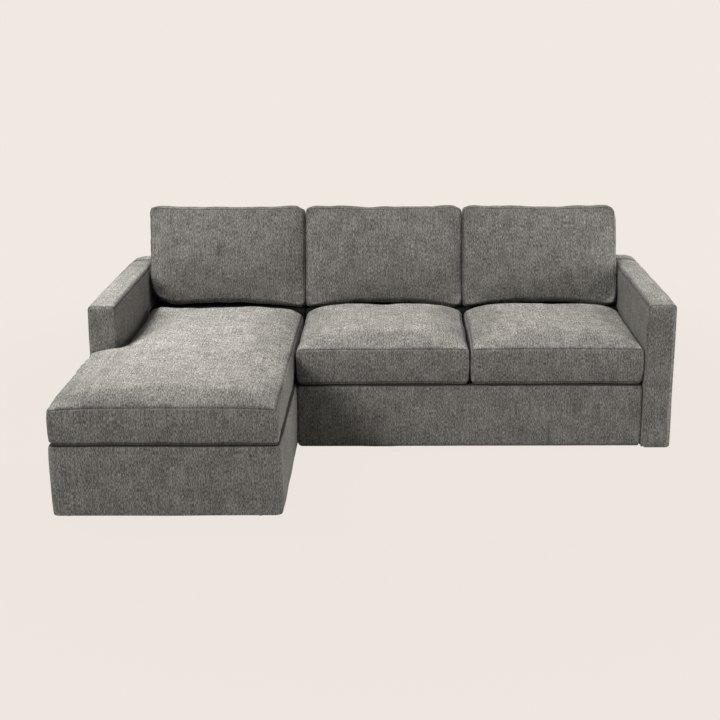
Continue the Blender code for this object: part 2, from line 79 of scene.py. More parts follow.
def roundCorner(points, axes, corner, inward, radius):
    # Turns a square corner into a quarter circle in the plane of two axes: a point at (a, b) from
    # the arc's centre, both outward, keeps its direction and takes the length max(a, b)
    first, second = axes
    a = radius - (points[:, first] - corner[0]) * inward[0]
    b = radius - (points[:, second] - corner[1]) * inward[1]
    zone = (a > 0) & (b > 0)
    length = np.hypot(a, b)
    factor = np.where(zone, np.maximum(a, b) / np.maximum(length, 1e-9), 1)
    points[:, first] = np.where(zone, corner[0] + inward[0] * (radius - a * factor), points[:, first])
    points[:, second] = np.where(zone, corner[1] + inward[1] * (radius - b * factor), points[:, second])
    return points


besideSeam = 0.004               # from a seam to the grid lines that keep it narrow


def axisLines(low, high, radius, spacing, seams=()):
    # Grid lines along one axis: close through both rounded ends and beside each seam
    marks = [low, high]
    for share in (1 / 3, 2 / 3, 1):
        marks += [low + radius * share, high - radius * share]
    for seam in seams:
        marks += [seam - besideSeam, seam, seam + besideSeam]
    marks = sorted(marks)
    lines = [marks[0]]
    for start, end in zip(marks, marks[1:]):
        if end - start < 1e-5:
            continue
        steps = max(1, math.ceil((end - start) / spacing))
        lines += list(np.linspace(start, end, steps + 1)[1:])
    return np.array(lines)


def quads(index):
    # The faces between the points of a two-way grid of indices
    return np.stack([index[:-1, :-1], index[1:, :-1], index[1:, 1:], index[:-1, 1:]], -1).reshape(-1, 4)


def merged(points, faces, digits=6):
    # Joins points that lie at one place
    _, first, back = np.unique(np.round(points, digits), axis=0, return_index=True, return_inverse=True)
    return points[first], back.reshape(-1)[faces]


def makeMesh(name, points, faces, ends=()):
    mesh = bpy.data.meshes.new(name)
    mesh.from_pydata(points.tolist(), [], faces.tolist() + list(ends))
    mesh.validate()
    mesh.update()
    return mesh


def readPoints(mesh):
    flat = np.empty(len(mesh.vertices) * 3)
    mesh.vertices.foreach_get("co", flat)
    return flat.reshape(-1, 3)


def readNormals(mesh):
    flat = np.empty(len(mesh.vertices) * 3)
    mesh.vertex_normals.foreach_get("vector", flat)
    return flat.reshape(-1, 3)


def writePoints(mesh, points):
    mesh.vertices.foreach_set("co", np.ascontiguousarray(points, dtype=np.float32).ravel())
    mesh.update()


clothLay = {
    "rearSlope": 0.25,           # a top that leans further to the rear is laid the other way round
    "topShare": 0.55,            # of a top's depth in the length of the weave
    "planeShift": 0.37,          # between the weaves of faces that look along different axes
    "paintedTopPower": 8,               # how fast the painted light fades as a top tilts
    "paintedShadeLevel": (0.6, 0.85),  # how level a top is where its painted shade starts and is full
    "paintedShadeDepth": 1.6,          # how dark the painted shade is, as a multiple of a seam's shade
}


def addWeave(mesh):
    # A UV map in metres, nap along V: each face is laid flat on the plane that it faces most
    points = readPoints(mesh)
    corners = np.empty(len(mesh.loops), dtype=np.int64)
    mesh.loops.foreach_get("vertex_index", corners)
    normals = np.empty(len(mesh.polygons) * 3)
    mesh.polygons.foreach_get("normal", normals)
    normals = normals.reshape(-1, 3)
    totals = np.empty(len(mesh.polygons), dtype=np.int64)
    mesh.polygons.foreach_get("loop_total", totals)
    facing = np.repeat(np.abs(normals).argmax(1), totals)
    drop = np.repeat(np.where(normals[:, 1] > clothLay["rearSlope"], -1.0, 1.0), totals)
    place = points[corners]
    across = np.where(facing == 0, place[:, 1], place[:, 0]) + facing * clothLay["planeShift"]
    topRun = place[:, 1] * clothLay["topShare"] + place[:, 2] * drop
    along = np.where(facing == 2, topRun, place[:, 2])
    layer = mesh.uv_layers.new(name="weave")
    layer.data.foreach_set("uv", np.stack([across, along], -1).astype(np.float32).ravel())


def markSeamsAndShade(mesh, amount):
    # How dark each vertex is painted: 0 to 1 in a seam, for the thread and the painted shade in its
    # groove, and past 1 where near-black painted shade fills a crevice
    layer = mesh.attributes.new("seam", "FLOAT", "POINT")
    layer.data.foreach_set("value", amount.astype(np.float32))


def markPaintedShade(mesh):
    # Painted shade: level tops that a cushion lies on are painted near black, standing in for the shade
    # that the crevices show
    level = smooth(readNormals(mesh)[:, 2], *clothLay["paintedShadeLevel"])
    markSeamsAndShade(mesh, clothLay["paintedShadeDepth"] * level)


def addPiece(name, mesh, body, cloth, nodes, napShare=1.0):
    # Finishes a mesh as a fabric piece that rides on a body and stands for CAD nodes. Its level tops
    # get painted light, a paler colour standing in for light from above: share * z^power, for the
    # upward part z of the normal
    addWeave(mesh)
    level = np.clip(readNormals(mesh)[:, 2], 0, 1)
    paintedTopLight = mesh.attributes.new("paintedTopLight", "FLOAT", "POINT")
    paintedTopLight.data.foreach_set("value", (napShare * level ** clothLay["paintedTopPower"]).astype(np.float32))
    mesh.materials.append(cloth)
    mesh.shade_smooth()
    piece = bpy.data.objects.new(name, mesh)
    bpy.context.scene.collection.objects.link(piece)
    finer = piece.modifiers.new("finer", "SUBSURF")
    finer.levels = 1
    finer.render_levels = 1
    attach(piece, body)
    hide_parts(*nodes)
    return piece


# Materials

def newMaterial(name):
    material = bpy.data.materials.new(name)
    material.use_nodes = True
    tree = material.node_tree
    return material, tree, tree.nodes["Principled BSDF"]


def addNode(tree, kind, inputs=None, **settings):
    node = tree.nodes.new(kind)
    for key, value in settings.items():
        setattr(node, key, value)
    for key, value in (inputs or {}).items():
        if isinstance(value, bpy.types.NodeSocket):
            tree.links.new(value, node.inputs[key])
        else:
            node.inputs[key].default_value = value
    return node


def linear(red, green, blue):
    # A display colour of 0 to 255 as the linear values that shaders take
    values = [channel / 255 for channel in (red, green, blue)]
    return [v / 12.92 if v <= 0.04045 else ((v + 0.055) / 1.055) ** 2.4 for v in values] + [1.0]


def colourRamp(tree, factor, ends, between=()):
    # The colour of a ramp with two ends, each a position and a display colour, and stops between
    ramp = addNode(tree, "ShaderNodeValToRGB", {"Fac": factor})
    stops = ramp.color_ramp.elements
    for stop, (position, colour) in zip(list(stops), ends):
        stop.position = position
        stop.color = linear(*colour)
    for position, colour in between:
        stops.new(position).color = linear(*colour)
    return ramp.outputs["Color"]


def addNoise(tree, vector, scale, detail, distortion=0.0):
    noise = addNode(tree, "ShaderNodeTexNoise", {"Vector": vector, "Scale": scale, "Detail": detail,
                                                 "Distortion": distortion})
    return noise.outputs["Fac"]


def multiplyAdd(tree, value, share, onto):
    return addNode(tree, "ShaderNodeMath", {0: value, 1: share, 2: onto},
                   operation="MULTIPLY_ADD").outputs[0]


def addBump(tree, shader, height, look):
    bump = addNode(tree, "ShaderNodeBump", {"Height": height, "Distance": look["bumpDepth"],
                                            "Strength": look["bumpStrength"]})
    tree.links.new(bump.outputs["Normal"], shader.inputs["Normal"])


chenille = {
    "darkYarn": (78, 75, 71),
    "midYarn": (124, 121, 116),
    "paleYarn": (172, 169, 163),
    "slubWidth": 0.0023,         # dark and pale flecks, in metres
    "slubLength": 0.012,
    "slubWander": 0.4,           # how far the flecks stray from straight
    "streakWidth": 0.0050,       # long faint lines of the warp
    "streakLength": 0.110,
    "yarnWidth": 0.0016,
    "yarnLength": 0.0048,
    "napPatch": 0.055,           # size of the brushed patches
    "shares": {"slub": 0.52, "yarn": 0.20, "streak": 0.17, "patch": 0.11},
    "contrast": 0.094,           # half the range of the mixed noises from dark to pale
    "seamShade": 0.6,            # how dark the seams are: the thread's colour and painted shade in the groove
    # near black: the colour of the seams and of painted shade
    "seamAndShadeColour": (0.012, 0.011, 0.010, 1),
    "paintedTopLift": 1.2,              # painted light: how much paler the colour is where a top lies level
    "sheen": 0.22,
    "sheenRoughness": 0.45,
    "sheenTint": (225, 222, 216),
    "roughness": 0.92,
    "specular": 0.2,
    "bumpDepth": 0.0012,
    "bumpStrength": 0.9,
}
# Painted shade: a near-black cloth for the hidden ledges, standing in for the shade in the gaps
paintedShadeLook = dict(chenille, darkYarn=(20, 19, 18), midYarn=(30, 29, 28), paleYarn=(42, 41, 39),
                  sheen=0.0, paintedTopLift=0.0)


def makeChenille(name, look):
    # Heathered chenille: its tone is the sum of the slub, yarn, streak and patch noises, each by
    # its share, and all but the patches raise the surface too
    material, tree, shader = newMaterial(name)
    weave = addNode(tree, "ShaderNodeUVMap", uv_map="weave").outputs[0]
    place = addNode(tree, "ShaderNodeTexCoord").outputs["Object"]
    shares = look["shares"]

    def stretched(width, length, detail, wander=0.0):
        scaled = addNode(tree, "ShaderNodeMapping",
                         {"Vector": weave, "Scale": (1 / width, 1 / length, 1)}).outputs[0]
        return addNoise(tree, scaled, 1.0, detail, wander)

    slub = stretched(look["slubWidth"], look["slubLength"], 2.0, look["slubWander"])
    yarn = stretched(look["yarnWidth"], look["yarnLength"], 1.0)
    streak = stretched(look["streakWidth"], look["streakLength"], 2.0)
    patch = addNoise(tree, place, 1 / look["napPatch"], 3.0)
    mixed = multiplyAdd(tree, streak, shares["streak"], 0.0)
    mixed = multiplyAdd(tree, yarn, shares["yarn"], mixed)
    mixed = multiplyAdd(tree, slub, shares["slub"], mixed)
    tone = multiplyAdd(tree, patch, shares["patch"], mixed)
    ends = ((0.5 - look["contrast"], look["darkYarn"]), (0.5 + look["contrast"], look["paleYarn"]))
    heathered = colourRamp(tree, tone, ends, [(0.5, look["midYarn"])])
    # Seams are darkened in colour, partly the thread and partly painted shade in their grooves; past 1
    # the attribute gives near-black painted shade
    seam = addNode(tree, "ShaderNodeAttribute", attribute_name="seam").outputs["Fac"]
    seamDarkness = addNode(tree, "ShaderNodeMath", {0: seam, 1: look["seamShade"]},
                       operation="MULTIPLY").outputs[0]
    shaded = addNode(tree, "ShaderNodeMixRGB", {"Fac": seamDarkness, "Color1": heathered,
                                                "Color2": look["seamAndShadeColour"]}).outputs["Color"]
    # Painted light: level tops are painted paler by the attribute's share, standing in for the light
    # from above
    paintedTopLight = addNode(tree, "ShaderNodeAttribute", attribute_name="paintedTopLight").outputs["Fac"]
    lift = multiplyAdd(tree, paintedTopLight, look["paintedTopLift"], 1.0)
    paintedTopColour = addNode(tree, "ShaderNodeVectorMath", {0: shaded, "Scale": lift},
                     operation="SCALE").outputs[0]
    tree.links.new(paintedTopColour, shader.inputs["Base Color"])
    addBump(tree, shader, mixed, look)
    shader.inputs["Roughness"].default_value = look["roughness"]
    shader.inputs["Specular IOR Level"].default_value = look["specular"]
    shader.inputs["Sheen Weight"].default_value = look["sheen"]
    shader.inputs["Sheen Roughness"].default_value = look["sheenRoughness"]
    shader.inputs["Sheen Tint"].default_value = linear(*look["sheenTint"])
    return material


slatWood = {
    "paleWood": (214, 178, 134),
    "darkWood": (176, 132, 88),
    "darkFrom": 0.30,            # where the grain's noise is fully dark, and fully pale
    "paleFrom": 0.68,
    "grainWidth": 0.006,
    "grainLength": 0.30,
    "grainWander": 0.6,
    "roughness": 0.5,
    "bumpDepth": 0.0004,
    "bumpStrength": 0.4,
}


def makeBeech(name, look, alongX):
    # Planed beech: one noise stretched along the board gives the tone and the grain's relief
    material, tree, shader = newMaterial(name)
    place = addNode(tree, "ShaderNodeTexCoord").outputs["Object"]
    wide, lengthwise = 1 / look["grainWidth"], 1 / look["grainLength"]
    scale = (lengthwise, wide, wide) if alongX else (wide, lengthwise, wide)
    scaled = addNode(tree, "ShaderNodeMapping", {"Vector": place, "Scale": scale}).outputs[0]
    grain = addNoise(tree, scaled, 1.0, 5.0, look["grainWander"])
    ends = ((look["darkFrom"], look["darkWood"]), (look["paleFrom"], look["paleWood"]))
    tree.links.new(colourRamp(tree, grain, ends), shader.inputs["Base Color"])
    addBump(tree, shader, grain, look)
    shader.inputs["Roughness"].default_value = look["roughness"]
    return material


hardFinish = {
    "metallic": 0.0,
    "wearSize": 40,              # of the worn patches, as a multiple of the grain's
    "wearRange": (0.45, 0.75),   # where their noise is still new, and fully worn
    "glossRange": 0.2,           # how far the roughness strays with the grain
    "bumpStrength": 0.5,
}
steelCoat = dict(hardFinish, base=(30, 30, 32), worn=(52, 51, 50), roughness=0.45, metallic=0.3,
                 grain=900.0, bumpDepth=0.0002)
castorRubber = dict(hardFinish, base=(58, 58, 60), worn=(78, 77, 75), roughness=0.75,
                    grain=700.0, bumpDepth=0.0003)
glideMoulding = dict(hardFinish, base=(26, 26, 27), worn=(44, 43, 42), roughness=0.55,
                     grain=800.0, bumpDepth=0.0002)


def makeHard(name, look):
    # Powder coat, rubber or moulded plastic: a fine noise in gloss and relief, and a wide one that
    # takes the colour from base to worn
    material, tree, shader = newMaterial(name)
    place = addNode(tree, "ShaderNodeTexCoord").outputs["Object"]
    fine = addNoise(tree, place, look["grain"], 4.0)
    wide = addNoise(tree, place, look["grain"] / look["wearSize"], 3.0)
    ends = zip(look["wearRange"], (look["base"], look["worn"]))
    tree.links.new(colourRamp(tree, wide, ends), shader.inputs["Base Color"])
    smoothest = look["roughness"] - look["glossRange"] / 2
    gloss = multiplyAdd(tree, fine, look["glossRange"], smoothest)
    tree.links.new(gloss, shader.inputs["Roughness"])
    addBump(tree, shader, fine, look)
    shader.inputs["Metallic"].default_value = look["metallic"]
    return material


fabric = makeChenille("heathered_chenille", chenille)
paintedShadeCloth = makeChenille("painted_shade_cloth", paintedShadeLook)
beechAcross = makeBeech("beech_across", slatWood, True)
beechDeep = makeBeech("beech_front_to_back", slatWood, False)
powderCoat = makeHard("powder_coated_steel", steelCoat)
greyRubber = makeHard("moulded_rubber", castorRubber)
glidePlastic = makeHard("moulded_plastic", glideMoulding)
print("materials made")


# CAD nodes that stay, with better materials

def dressNodes():
    for name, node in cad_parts.items():
        if "wheel" in name:
            material = greyRubber
        elif "glide" in name:
            material = glidePlastic
        elif any(word in name for word in ("fork", "runner", "post", "rear_member")):
            material = powderCoat
        elif any(word in name for word in ("slat", "ledger", "batten", "cross_rail")):
            low, high = boxOf(name)
            material = beechAcross if high[0] - low[0] > high[1] - low[1] else beechDeep
        else:
            continue
        node.data.materials.clear()
        node.data.materials.append(material)


dressNodes()


# Upholstered shells: rounded blocks with softly uneven faces and sunk seams

shell = {
    "spacing": 0.022,
    "puff": 0.0035,              # how far the middle of each face stands out
    "puffPower": 6,              # how near to its edges a face stays full
    "unevenness": 0.0012,
    "unevenWave": 0.24,
    "seamDepth": 0.0034,
    "seamWidth": 0.0030,
    "faceFrom": 0.9,             # a point is on a face where its normal is this level with it
    "skirtWidth": 0.004,         # the strip of the underside that comes down, and its clearance
    "skirtClearance": 0.0012,
}


def roundedBlock(low, high, radius, spacing, seams):
    # Six grids over a box. A point's nearest place in the box drawn in by the radius is its
    # centre, and the point lies one radius from it, which rounds every edge and corner
    lines = [axisLines(low[axis], high[axis], radius, spacing, seams[axis]) for axis in range(3)]
    allPoints, allFaces, start = [], [], 0
    for axis in range(3):
        first, second = [other for other in range(3) if other != axis]
        for end, value in ((0, low[axis]), (1, high[axis])):
            u, v = np.meshgrid(lines[first], lines[second], indexing="ij")
            points = np.empty((u.size, 3))
            points[:, first], points[:, second], points[:, axis] = u.ravel(), v.ravel(), value
            faces = quads(start + np.arange(u.size).reshape(u.shape))
            if (axis == 1) != (end == 0):
                faces = faces[:, ::-1]
            allPoints.append(points)
            allFaces.append(faces)
            start += u.size
    points, faces = merged(np.concatenate(allPoints), np.concatenate(allFaces))
    centre = np.clip(points, low + radius, high - radius)
    way = points - centre
    way /= np.linalg.norm(way, axis=1)[:, None]
    return centre + way * radius, faces, way


def sinkSeams(points, normals, closeness, look):
    # Lowers a narrow line of the surface along each seam: -depth * closeness
    return points - normals * (closeness * look["seamDepth"])[:, None]


def lineCloseness(distance, look):
    # 1 on a seam and 0 away from it: exp(-(distance / width)^2)
    return np.exp(-(distance / look["seamWidth"]) ** 2)


def padShell(points, normals, low, high, look, seed):
    # Puffs each face by the product of 1 - r^puffPower over its two directions, with r = 1 at its
    # sides, and adds a slow unevenness
    share = np.abs((points - (low + high) / 2) / ((high - low) / 2))
    facing = np.abs(normals)
    puff = np.ones(len(points))
    for axis in range(3):
        others = [other for other in range(3) if other != axis]
        fall = np.prod([1 - np.clip(share[:, other], 0, 1) ** look["puffPower"] for other in others],
                       axis=0)
        puff = np.where(facing[:, axis] > look["faceFrom"], fall, puff)
    flat = facing.max(1) > look["faceFrom"]
    lift = np.where(flat, puff * look["puff"], 0)
    lift += ripple(points, seed, look["unevenWave"]) * look["unevenness"]
    return points + normals * lift[:, None]


def paddedBlock(low, high, look, seed):
    points, faces, normals = roundedBlock(low, high, look["radius"], look["spacing"], ((), (), ()))
    return padShell(points, normals, low, high, look, seed), faces


def dropSkirt(points, low, high, look):
    # The outer strip of the underside comes down close to the floor, and the rest stays up
    inset = np.minimum(points[:, :2] - low[:2], high[:2] - points[:, :2]).min(1)
    foot = np.where(inset < look["skirtWidth"], look["skirtClearance"], low[2])
    points[:, 2] = np.where(points[:, 2] < low[2] + 1e-4, foot, points[:, 2])
    return points


armLook = {
    **shell,
    "radius": 0.020,
    "seamInset": 0.0035,         # of a seam from the edge beside it
    "frontLine": 0.012,          # of a close grid line from the front
    "frameTurn": 0.018,          # radius of the upper corners of the front's seam
    "frameFrom": 0.6,            # the front's seam keeps to normals that lean forward this much
    "edgeFrom": 0.3,             # and the top's seam to those that lean upward this much
    "rise": 0.013,               # how far the top climbs to that of the back
    "riseDepth": 0.13,           # over this depth in front of the back
    "riseHeight": 0.3,           # from this height over the underside up to the top
    "riseWidth": 0.06,           # and over this width from the outer side
    # share of painted light on the arm's level tops
    "napShare": 0.8,
}


def buildArm(name, inner, seed, look=armLook):
    # inner is +1 where the seat lies towards +X. A seam frames the front panel, and a second one
    # joins the top to the inside along the inner edge. The top climbs by the product of 3 ramps
    low, high = boxOf(name)
    inset, radius = look["seamInset"], look["radius"]
    innerX, outerX = (high[0], low[0]) if inner > 0 else (low[0], high[0])
    edgeX = innerX - inner * inset
    lines = [[low[0] + inset, high[0] - inset, edgeX], [low[1] + look["frontLine"]],
             [high[2] - inset]]
    drop = np.array([0, 0, radius])
    far = high + (0, radius, 0)
    points, faces, normals = roundedBlock(low - drop, far, radius, look["spacing"], lines)

    # Distance to the frame on the front: the nearest side of a rounded rectangle
    half, turn = (high[0] - low[0]) / 2 - inset, look["frameTurn"]
    acrossFrame = np.abs(points[:, 0] - (low[0] + high[0]) / 2) - half + turn
    upFrame = points[:, 2] - (high[2] - inset) + turn
    fromFrame = np.hypot(np.maximum(acrossFrame, 0), np.maximum(upFrame, 0))
    fromFrame = np.abs(fromFrame + np.minimum(np.maximum(acrossFrame, upFrame), 0) - turn)
    closeness = lineCloseness(fromFrame, look) * (normals[:, 1] < -look["frameFrom"])
    onEdge = lineCloseness(points[:, 0] - edgeX, look) * (normals[:, 2] > look["edgeFrom"])
    closeness = np.maximum(closeness, onEdge)
    points = padShell(points, normals, low - drop, high, look, seed)
    points = sinkSeams(points, normals, closeness, look)
    points[:, 1] = np.minimum(points[:, 1], high[1])
    points[:, 2] = np.maximum(points[:, 2], low[2])
    climb = smooth(points[:, 1], high[1] - look["riseDepth"], high[1])
    climb *= smooth(points[:, 2], low[2] + look["riseHeight"], high[2])
    climb *= smooth(np.abs(points[:, 0] - outerX), 0.0, look["riseWidth"])
    points[:, 2] += look["rise"] * climb
    points = dropSkirt(points, low, high, look)
    mesh = makeMesh(name + "_cover", points, faces)
    # The front frame and inner edge seams are darkened: the thread's colour and painted shade in the
    # groove
    markSeamsAndShade(mesh, closeness)
    return addPiece(name + "_cover", mesh, "root", fabric, [name], look["napShare"])


backLook = {
    **shell,
    "radius": 0.010,
    "rearRound": 0.060,          # of the upper rear edge
    "endRound": 0.050,           # of the upper outer edge
}


def buildBack(name, outer, seed, look=backLook):
    # outer is +1 where the free end lies towards +X
    low, high = boxOf(name)
    points, faces = paddedBlock(low - (0, 0, look["radius"]), high, look, seed)
    points = roundCorner(points, (1, 2), (high[1], high[2]), (-1, -1), look["rearRound"])
    end = low[0] if outer < 0 else high[0]
    points = roundCorner(points, (0, 2), (end, high[2]), (-outer, -1), look["endRound"])
    points[:, 2] = np.maximum(points[:, 2], low[2])
    points[:, 1] = np.maximum(points[:, 1], low[1])
    points = dropSkirt(points, low, high, look)
    return addPiece(name + "_cover", makeMesh(name + "_cover", points, faces), "root", fabric, [name])


ledgeLook = {
    **shell,
    "radius": 0.012,
    "puff": 0.00175,
    "pastLow": 0.002,            # how far the block may pass the lower and upper corners of its box
    "pastHigh": 0.0002,
}
railLook = {
    **ledgeLook,
    "endRound": 0.016,           # of the two upper corners seen from the front
    "clearance": 0.003,          # of the underside over the floor
    "footBand": 0.001,           # all that lies this low in the rail belongs to its underside
}


def buildLedge(name, seed, look=ledgeLook):
    low, high = boxOf(name)
    points, faces = paddedBlock(low, high, look, seed)
    points = np.clip(points, low - look["pastLow"], high + look["pastHigh"])
    # The ledge is painted near black: painted shade in the gaps behind the cushions
    return addPiece(name + "_cover", makeMesh(name + "_cover", points, faces), "root", paintedShadeCloth, [name])


def buildRail(name, seed, look=railLook):
    low, high = boxOf(name)
    points, faces = paddedBlock(low, high, look, seed)
    for end, inward in ((low[0], 1), (high[0], -1)):
        points = roundCorner(points, (0, 2), (end, high[2]), (inward, -1), look["endRound"])
    points = np.clip(points, low - look["pastLow"], high + look["pastHigh"])
    underside = points[:, 2] < low[2] + look["footBand"]
    points[:, 2] = np.where(underside, look["clearance"], points[:, 2])
    mesh = makeMesh(name + "_cover", points, faces)
    # Painted shade on the rail's level top, under the cushions' lips
    markPaintedShade(mesh)
    return addPiece(name + "_cover", mesh, "bed_carriage", fabric, [name])


chaiseBoxLook = {
    **shell,
    "corner": 0.028,             # radius of the two front corners in plan
    "cornerSteps": 8,
    "edge": 0.010,               # radius of the upper outer edge
    "innerEdge": 0.003,          # and of the upper inner one
    "rimSteps": 10,
    "seed": 11,
}


def buildChaiseBox(look=chaiseBoxLook):
    # One strip of fabric round the three panels: a wall profile carried along a U-shaped path
    # whose two front corners are arcs. Its outer face is puffed by 1 - t^puffPower of its height
    (left, front, _), (right, frontInside, top) = boxOf("chaise_front_panel")
    corner, edge, bottom = look["corner"], look["edge"], look["skirtClearance"]
    thick = frontInside - front
    leftRear = boxOf("chaise_left_panel")[1][1]
    rightRear = boxOf("chaise_right_panel")[1][1]

    def straight(start, end):
        steps = math.ceil(np.linalg.norm(np.subtract(end, start)) / look["spacing"])
        share = np.linspace(0, 1, steps + 1)[:-1, None]
        return np.array(start) * (1 - share) + np.array(end) * share

    def bend(centre, first, last):
        angles = np.radians(np.linspace(first, last, look["cornerSteps"] + 1))[:-1]
        return np.array(centre) + corner * np.stack([np.cos(angles), np.sin(angles)], -1)

    path = np.concatenate([
        straight((left, leftRear), (left, front + corner)),
        bend((left + corner, front + corner), 180, 270),
        straight((left + corner, front), (right - corner, front)),
        bend((right - corner, front + corner), 270, 360),
        straight((right, front + corner), (right, rightRear)),
        [(right, rightRear)],
    ])
    tangent = np.gradient(path, axis=0)
    tangent /= np.linalg.norm(tangent, axis=1)[:, None]
    outward = np.stack([tangent[:, 1], -tangent[:, 0]], -1)

    heights = axisLines(bottom, top, edge, look["spacing"])
    outer = np.stack([np.zeros(len(heights)), heights], -1)
    inner = np.stack([np.full(len(heights), thick), heights], -1)[::-1]
    across = np.linspace(0, thick, look["rimSteps"] + 1)[1:-1]
    rim = np.stack([across, np.full(len(across), top)], -1)
    profile = np.concatenate([outer, rim, inner, rim[::-1] * (1, 0) + (0, bottom)])
    profile = roundCorner(profile, (0, 1), (0, top), (1, -1), edge)
    profile = roundCorner(profile, (0, 1), (thick, top), (-1, -1), look["innerEdge"])
    share = np.clip((profile[:, 1] - bottom) / (top - bottom), 0, 1) * 2 - 1
    onOuter = profile[:, 0] < thick / 2
    swell = np.where(onOuter, look["puff"] * (1 - share ** look["puffPower"]), 0)
    depth = profile[:, 0] - swell
    plan = path[:, None, :] - outward[:, None, :] * depth[None, :, None]
    height = np.broadcast_to(profile[:, 1][None, :, None], plan.shape[:2] + (1,))
    points = np.concatenate([plan, height], -1)
    rows, columns = points.shape[:2]
    points = points.reshape(-1, 3)
    away = np.repeat(np.concatenate([outward, np.zeros((rows, 1))], -1), columns, 0)
    uneven = ripple(points, look["seed"], look["unevenWave"]) * look["unevenness"]
    points = points + away * (uneven * np.tile(onOuter, rows))[:, None]
    index = np.arange(rows * columns).reshape(rows, columns)
    faces = quads(np.concatenate([index, index[:, :1]], 1))
    ends = [index[0, ::-1].tolist(), index[-1].tolist()]
    mesh = makeMesh("chaise_box_cover", points, faces, ends)
    # Painted shade on the box's level top, under the cushion's lip
    markPaintedShade(mesh)
    return addPiece("chaise_box_cover", mesh, "root", fabric,
                    ["chaise_front_panel", "chaise_left_panel", "chaise_right_panel"])


buildArm("left_arm", inner=1, seed=1)
buildArm("right_arm", inner=-1, seed=2)
buildBack("back_left", outer=-1, seed=3)
buildBack("back_right", outer=1, seed=4)
buildChaiseBox()
buildRail("front_rail", seed=5)
buildLedge("seat_back_ledge", seed=6)
buildLedge("chaise_back_ledge", seed=7)
print("shells made")


# Cushions: two panels and a boxing between two seams, over a grid of (a, b) with depth c

cushionLook = {
    "spacing": 0.0125,
    "ringSpacing": 1.2,          # of the boxing's rings, as a multiple of that
    "seamLines": (0.0, 0.0035, 0.009),  # close grid lines beside each seam
    "seamDepth": 0.0032,
    "seamLip": 0.0010,           # the cloth stands up this much beside the seam,
    "lipPlace": (0.007, 0.004),  # this far from it and over this width
    "reach": 0.17,               # of the slope from a seam to the full crown
    "power": 2.2,
    "steepness": 0.8,
    "tuck": -0.001,              # how far the low seam lies in from the upper one
    "inset": 0.008,              # how far the seams lie in from the sides
    "bulge": 0.012,
    "bulgePower": 1.0,           # above 1 the boxing stays back beside its seams
    "creviceDepth": 0.021,       # how deep the bottom panel stays raised behind the low seam
    "draw": (0.004, 0.004),      # of the two pairs of sides, inwards, and how fast it fades
    "drawFade": 0.06,
    "ear": 0.001,                # how far the seam corners stand out, and how fast that fades
    "earFade": 0.04,
    "arch": 0.0,                 # of the lower edge of a standing cushion
    "archFade": 0.09,
    "lowArch": 0.2,              # share of the arch that the rear panel takes
    "pucker": 0.0010,            # folds beside the seams
    "puckerWave": 0.046,
    "puckerRange": (0.6, 1.7),   # of the folds' wavelengths, as shares of puckerWave
    "puckerSines": 5,
    "puckerReach": 0.030,
    "puckerFade": 0.05,
    "sidePucker": 0.25,          # share of the pucker along the upper and lower sides
    "gather": 0.0,               # folds round the upper corners, as a share of the pucker
    "gatherFolds": 9,
    "gatherPlace": (0.030, 0.022),  # their distance from the corner, and the width of their ring
    "unevenness": 0.0016,
    "unevenWave": 0.17,
    "pressure": 3.0,
    "ease": -0.02,
    "cap": 0.020,
    "calm": 4,                   # rounds of averaging of the movement with that of the neighbours
    "fill": 0.85,
    "napShare": 1.0,             # how much a level top is lightened by painted light
    "liningFrom": (0.22, 0.42),  # the painted shade on the bottom panel begins and is full at these shares of the way down
    "footFrom": 0.97,            # from this share on the underside is flat
    "rearDrop": 0.0,             # how far the rear seam of a standing cushion lies below the front
    "softEdge": 0.005,           # over this depth the sides flatten against their limit
    "dip": 0.006,                # how far the upper seam comes down at its front corners
    "dipReach": 0.03,
}


def seamedLines(low, high, spacing, near):
    # Grid lines from low to high: close beside both ends, then even
    inner = np.linspace(low + near[-1], high - near[-1],
                        max(2, math.ceil((high - low - 2 * near[-1]) / spacing)) + 1)
    return np.concatenate([low + np.array(near[:-1]), inner, high - np.array(near[:-1])[::-1]])


def crownShare(a, b, spec):
    # 0 at the seam to 1 in the middle: the product of (1 - (1 - d / reach)^power)^steepness over
    # the four sides of a rectangle, and 1 - (1 - f)(1 - g) of its two rectangles for an L
    reach, rear = spec["reach"], spec["rearReach"]

    def edge(distance, over=reach):
        full = 1 - (1 - np.clip(distance / over, 0, 1)) ** spec["power"]
        return full ** spec["steepness"]

    a0, a1, b0, b1 = spec["a0"], spec["a1"], spec["b0"], spec["b1"]
    if "notch" not in spec:
        return edge(a - a0) * edge(a1 - a) * edge(b - b0) * edge(b1 - b, rear)
    notchA, notchB = spec["notch"]
    front = edge(a - a0) * edge(a1 - a) * edge(b - b0) * edge(notchB - b, spec["notchReach"])
    side = edge(a - notchA, spec["notchReach"]) * edge(a1 - a) * edge(b - b0) * edge(b1 - b, rear)
    return 1 - (1 - front) * (1 - side)


def seamDistance(a, b, spec):
    # Distance in the plan to the nearest side, and for an L also to the two sides of its notch
    sides = [a - spec["a0"], spec["a1"] - a, b - spec["b0"], spec["b1"] - b]
    if "notch" in spec:
        notchA, notchB = spec["notch"]
        sides.append(np.hypot(np.maximum(a - notchA, 0), np.maximum(notchB - b, 0)))
    return np.minimum.reduce(sides)


